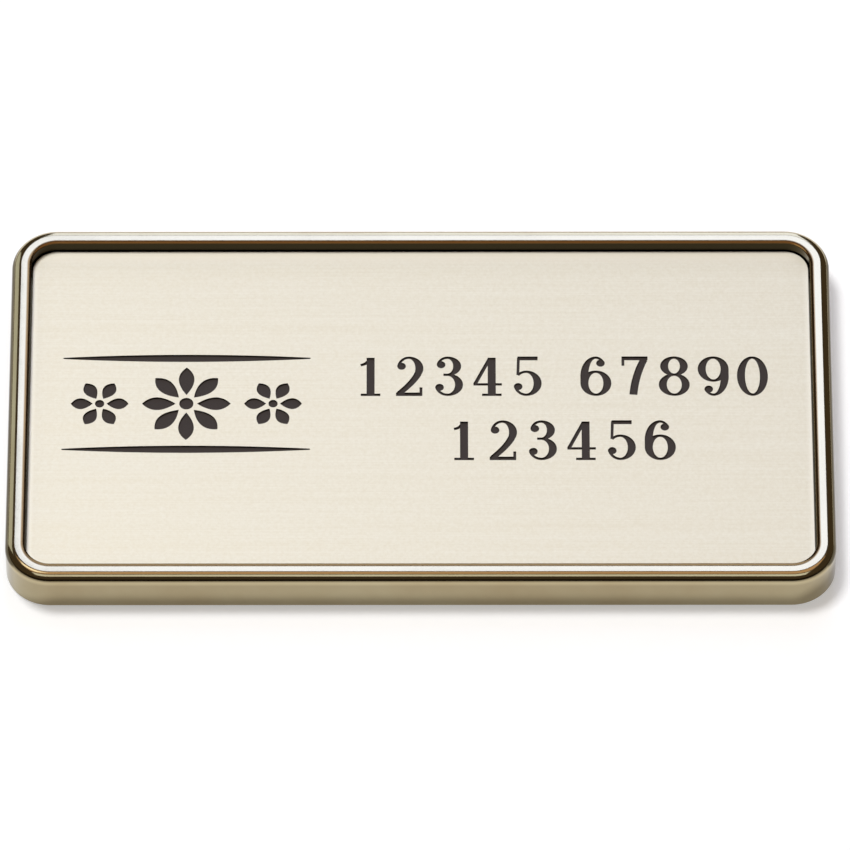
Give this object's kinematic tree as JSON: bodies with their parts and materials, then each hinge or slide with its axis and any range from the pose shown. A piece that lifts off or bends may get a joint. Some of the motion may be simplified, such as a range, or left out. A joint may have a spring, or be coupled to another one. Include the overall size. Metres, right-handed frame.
{
  "type": "name badge",
  "caption": "Flat rectangular badge worn on clothing: a polished metal frame with rounded corners holds a sunk, brushed, engraved plate.",
  "frame": {"origin": "middle of the badge's footprint, on the plane that its back ring rests on", "axes": "+X along the badge's long side, to the right of a reader; +Y towards the top edge of the marks; +Z out of the badge's face"},
  "size_m": [0.0798, 0.0418, 0.0045],
  "materials": {
    "gold_plating": "polished light gold plating on cast metal",
    "brushed_gold": "fine brushed pale gold skin on black engraving plastic, with black engraved marks",
    "plain_steel": "plain nickel-plated steel"
  },
  "bodies": {
    "root": {"frame": "gold_plating", "insert_plate": "brushed_gold", "fastener_strip": "plain_steel"}
  },
  "joints": []
}
